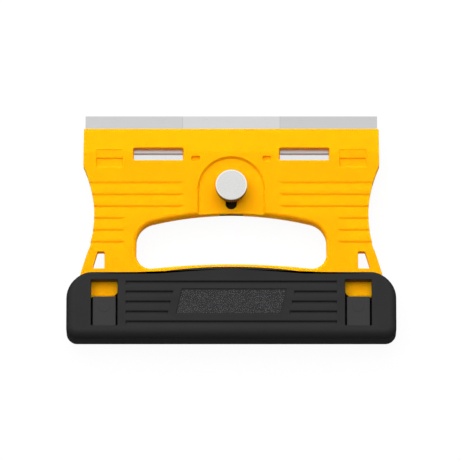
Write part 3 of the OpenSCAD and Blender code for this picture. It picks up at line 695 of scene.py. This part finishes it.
height = put(knob_tree, "ShaderNodeSeparateXYZ", {"Vector": spot}).outputs["Z"]
rings = put(knob_tree, "ShaderNodeTexNoise", {
    "W": from_axis, "Scale": 5200.0, "Detail": 2.0}, noise_dimensions="1D").outputs["Fac"]
ring_rough = put(knob_tree, "ShaderNodeMapRange", {
    "Value": rings, "To Min": 0.22, "To Max": 0.34})
ring_bump = put(knob_tree, "ShaderNodeBump", {
    "Height": rings, "Strength": 0.5, "Distance": 0.02 * mm})
ring_shade = put(knob_tree, "ShaderNodeMix", {"Factor": rings}, data_type="RGBA")
ring_shade.inputs["A"].default_value = (0.68, 0.68, 0.67, 1)
ring_shade.inputs["B"].default_value = (0.84, 0.84, 0.83, 1)
knob_shade = ring_shade.outputs["Result"]
seam_reach = 0.01 * mm
rim_highlight_zone = calc(knob_tree, "GREATER_THAN", from_axis, face_r)
side_shade_zone = calc(knob_tree, "LESS_THAN", height, knob_high.z - crown - seam_reach)
below_head = calc(knob_tree, "LESS_THAN", height, knob_low.z + collar_h - seam_reach)
# Painted zones: the rim takes a painted highlight, the knurled side a painted shade, and the collar
# is near-black.
knob_zones = [
    (rim_highlight_zone, (0.93, 0.93, 0.92)), (side_shade_zone, (0.13, 0.12, 0.118)),
    (below_head, (0.045, 0.043, 0.042))]
for zone, colour in knob_zones:
    layer = put(knob_tree, "ShaderNodeMix", {"Factor": zone, "A": knob_shade}, data_type="RGBA")
    layer.inputs["B"].default_value = (*colour, 1)
    knob_shade = layer.outputs["Result"]
around_axis = put(knob_tree, "ShaderNodeTangent", direction_type="RADIAL", axis="Z")
knob_tree.links.new(knob_shade, knob_shader.inputs["Base Color"])
knob_tree.links.new(ring_rough.outputs["Result"], knob_shader.inputs["Roughness"])
knob_tree.links.new(ring_bump.outputs["Normal"], knob_shader.inputs["Normal"])
knob_tree.links.new(around_axis.outputs["Tangent"], knob_shader.inputs["Tangent"])
stands_for(knob, "knob", turned_metal)

# Handle cover: a black moulded cap that clips over the feet and closes the blade store.
# It has grip grooves on both faces, and a plain panel in the middle of the front whose
# stipple was etched into the mould.
black_plastic = moulded_plastic(
    "black_plastic", deep=(0.006, 0.006, 0.0064), pale=(0.009, 0.009, 0.0096), grains=2200.0,
    gloss=(0.56, 0.70), depth=0.03 * mm, Specular_IOR_Level=0.42)
etched_plastic = moulded_plastic(
    "etched_black_plastic", deep=(0.065, 0.065, 0.069), pale=(0.09, 0.09, 0.095), grains=2200.0,
    gloss=(0.62, 0.74), depth=0.01 * mm, Specular_IOR_Level=0.5)
cover_cuts_x = [-65.3, -45, -26, 0, 26, 45, 65.3]
cover_cuts_y = [-38.9]
cover = soft_copy(
    "handle_cover", "handle_cover_moulding", mould_edge, cover_cuts_x, cover_cuts_y)
panel_w = 54 * mm
panel_len = 13.3 * mm
panel_slant = 3 * mm
panel_y = -40.85 * mm
panel_edge = 0.7 * mm
panel_sink = 0.4 * mm
panel_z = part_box("handle_cover")[1].z - panel_sink
grain_r = 0.32 * mm
grain_pitch = 0.62 * mm
grain_flatness = 0.4


def stipple_tree():
    """Low grains at random places on a face, never nearer to each other than the pitch."""
    tree, start, end = new_group(
        "stipple", "GeometryNodeTree",
        {"Face": "NodeSocketGeometry", "Pitch": number, "Radius": number, "Flatness": number,
         "Finish": "NodeSocketMaterial"},
        {"Geometry": "NodeSocketGeometry"})
    pitch = start.outputs["Pitch"]
    tries_per_square = 4.0
    dense = calc(tree, "DIVIDE", tries_per_square, calc(tree, "MULTIPLY", pitch, pitch))
    points = put(tree, "GeometryNodeDistributePointsOnFaces", {
        "Mesh": start.outputs["Face"], "Distance Min": pitch, "Density Max": dense, "Seed": 7},
        distribute_method="POISSON")
    grain = put(tree, "GeometryNodeMeshIcoSphere", {
        "Radius": start.outputs["Radius"], "Subdivisions": 1})
    width = put(tree, "FunctionNodeRandomValue", {
        "Min": 0.6, "Max": 1.1, "Seed": 3}, data_type="FLOAT").outputs[1]
    size = put(tree, "ShaderNodeCombineXYZ", {
        "X": width, "Y": width, "Z": calc(tree, "MULTIPLY", width, start.outputs["Flatness"])})
    grains = put(tree, "GeometryNodeInstanceOnPoints", {
        "Points": points.outputs["Points"], "Instance": grain.outputs["Mesh"],
        "Scale": size.outputs["Vector"]})
    return end_tree(tree, grains.outputs["Instances"], start.outputs["Finish"], end)


def joined(piece, extra):
    """Takes the mesh of another object into a piece, and removes that object."""
    form = bmesh.new()
    form.from_mesh(piece.data)
    form.from_mesh(extra.data)
    form.to_mesh(piece.data)
    form.free()
    bpy.data.objects.remove(extra)


panel_form = bmesh.new()
half_w = panel_w / 2 - panel_edge
half_len = panel_len / 2 - panel_edge
panel_lean = panel_slant * half_len / panel_len
panel_corners = [
    (-half_w - panel_lean, -half_len), (half_w - panel_lean, -half_len),
    (half_w + panel_lean, half_len), (-half_w + panel_lean, half_len)]
panel_form.faces.new(
    [panel_form.verts.new((x, panel_y + y, panel_z)) for x, y in panel_corners])
stipple = run_tree(link("stipple", panel_form), stipple_tree(), {
    "Pitch": grain_pitch, "Radius": grain_r, "Flatness": grain_flatness,
    "Finish": etched_plastic})
stipple.data.shade_smooth()
plain_faces = len(cover.data.polygons)
joined(cover, stipple)
stands_for(cover, "handle_cover", black_plastic, etched_plastic)
second_finish(cover, lambda face: face.index >= plain_faces)

# Latch tabs: springy tongues moulded with the cover, each with a hook under its free end.
# Their smooth faces are a little paler, and keep the round mark of an ejector pin.
smooth_plastic = moulded_plastic(
    "smooth_black_plastic", deep=(0.0105, 0.0105, 0.0112), pale=(0.015, 0.015, 0.016),
    grains=1200.0, gloss=(0.48, 0.58), depth=0.01 * mm, Specular_IOR_Level=0.5)
tab_edge = 0.25 * mm
pin_r = 2.9 * mm
pin_rise = 0.08 * mm
pin_sink = 0.2 * mm
pin_y = -43.2 * mm
pin_profile = [
    (0, -pin_sink), (pin_r, -pin_sink), (pin_r, 0), (pin_r - pin_rise, pin_rise), (0, pin_rise)]
for side in ("left", "right"):
    tab = soft_copy(side + "_latch_tab", side + "_latch_tongue", tab_edge)
    tab_low, tab_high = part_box(side + "_latch_tab")
    pin_x = (tab_low.x + tab_high.x) / 2
    mark = link("pin_mark", turned(pin_profile, sides=48))
    mark.data.transform(Matrix.Translation((pin_x, pin_y, tab_high.z)))
    joined(tab, mark)
    stands_for(tab, side + "_latch_tab", smooth_plastic)

# Floor: a sheet of matt white board under the scraper, which keeps a faint shadow.
# The camera sees it lifted to plain white. Mirrored rays see it dim, as in the photo,
# where the knob's side and the heel of the cover are dark.
white = (1.0, 1.0, 1.0, 1)
floor_size = 3.0
floor_gap = 0.05 * mm
floor_form = bmesh.new()
bmesh.ops.create_grid(floor_form, x_segments=1, y_segments=1, size=floor_size / 2)
bmesh.ops.translate(floor_form, vec=(0, 0, cad_box[0][2] - floor_gap), verts=floor_form.verts)
floor = link("floor", floor_form)
floor_shade = 0.8
floor_lift = 0.93
mirror_level = 0.1
glow_level = (1.0 - (1.0 - floor_lift) * floor_shade) / floor_lift
floor_finish, floor_tree, floor_shader = new_finish(
    "floor_white", Roughness=0.9, Specular_IOR_Level=0.0)
floor_shader.inputs["Base Color"].default_value = (floor_shade, floor_shade, floor_shade, 1)


def ray_kinds(tree):
    """Whether a ray comes from the camera, and whether it was mirrored or let through."""
    ray = put(tree, "ShaderNodeLightPath").outputs
    mirrored = calc(tree, "MAXIMUM", ray["Is Glossy Ray"], ray["Is Transmission Ray"])
    return ray["Is Camera Ray"], mirrored


floor_seen, floor_mirrored = ray_kinds(floor_tree)
floor_sight = calc(floor_tree, "MULTIPLY_ADD", floor_seen, floor_lift, floor_mirrored)
glow_strength = calc(
    floor_tree, "MULTIPLY_ADD", floor_mirrored, mirror_level - glow_level, glow_level)
glow = put(floor_tree, "ShaderNodeEmission", {"Color": white, "Strength": glow_strength})
lift = put(floor_tree, "ShaderNodeMixShader", {
    0: floor_sight, 1: floor_shader.outputs["BSDF"], 2: glow.outputs["Emission"]})
floor_out = floor_tree.nodes["Material Output"]
floor_tree.links.new(lift.outputs["Shader"], floor_out.inputs["Surface"])
floor.data.materials.append(floor_finish)

# Room light: a white sky that is bright above the blades and dim on the handle's side,
# where metal still mirrors a grey. The camera sees it as plain white.
sky_up = (0.0, 0.8, 0.6)
dim_level = 0.02
fill_level = 0.54
mirrored_least = 0.35
world = bpy.data.worlds.new("studio")
bpy.context.scene.world = world
world.use_nodes = True
sky_tree = world.node_tree
sky = sky_tree.nodes["Background"]
sky_seen, sky_mirrored = ray_kinds(sky_tree)
ray_way = put(sky_tree, "ShaderNodeTexCoord").outputs["Generated"]
sky_lean = put(sky_tree, "ShaderNodeVectorMath", {0: ray_way, 1: sky_up}, operation="DOT_PRODUCT")
room_light = put(sky_tree, "ShaderNodeMapRange", {
    "Value": sky_lean.outputs["Value"], "From Min": -0.2, "From Max": 0.6,
    "To Min": dim_level, "To Max": 1.0}, interpolation_type="SMOOTHSTEP")
sky_share = calc(sky_tree, "MULTIPLY_ADD", sky_mirrored, 1.0 - fill_level, fill_level)
sky_lit = calc(sky_tree, "MULTIPLY", room_light.outputs["Result"], sky_share)
sky_least = calc(sky_tree, "MULTIPLY", sky_mirrored, mirrored_least)
sky_level = calc(sky_tree, "MAXIMUM", sky_lit, sky_least)
sky_strength = calc(sky_tree, "MAXIMUM", sky_level, sky_seen)
sky.inputs["Color"].default_value = white
sky_tree.links.new(sky_strength, sky.inputs["Strength"])

# Key light: one large soft lamp above the blades, a little to the left.
# It is kept out of reflections, so that the metal mirrors only the sky.
key_place = Vector((-0.2, 0.6, 1.0))
key_light = bpy.data.lights.new("key_light", "AREA")
key_light.size = 2.0
key_light.energy = 31.0
key = bpy.data.objects.new("key_light", key_light)
key.location = key_place
key.rotation_euler = (-key_place).to_track_quat("-Z", "Y").to_euler()
key.visible_glossy = False
key.visible_camera = False
bpy.context.scene.collection.objects.link(key)

# Camera: a long lens far away, which looks down on the front face from the handle's side.
# The width of the picture is set where the lens points, at mid height of the scraper.
frame_w = 236.7 * mm
distance = 4.0
elevation = math.radians(76)
look_at = Vector((-0.67, -0.75, 10)) * mm
lens_data = bpy.data.cameras.new("camera")
lens_data.sensor_width = 36
lens_data.lens = lens_data.sensor_width * distance / frame_w
camera = bpy.data.objects.new("camera", lens_data)
camera.location = look_at + distance * Vector((0, -math.cos(elevation), math.sin(elevation)))
camera.rotation_euler = (look_at - camera.location).to_track_quat("-Z", "Y").to_euler()
bpy.context.scene.collection.objects.link(camera)
bpy.context.scene.camera = camera
bpy.context.scene.view_settings.view_transform = "Standard"
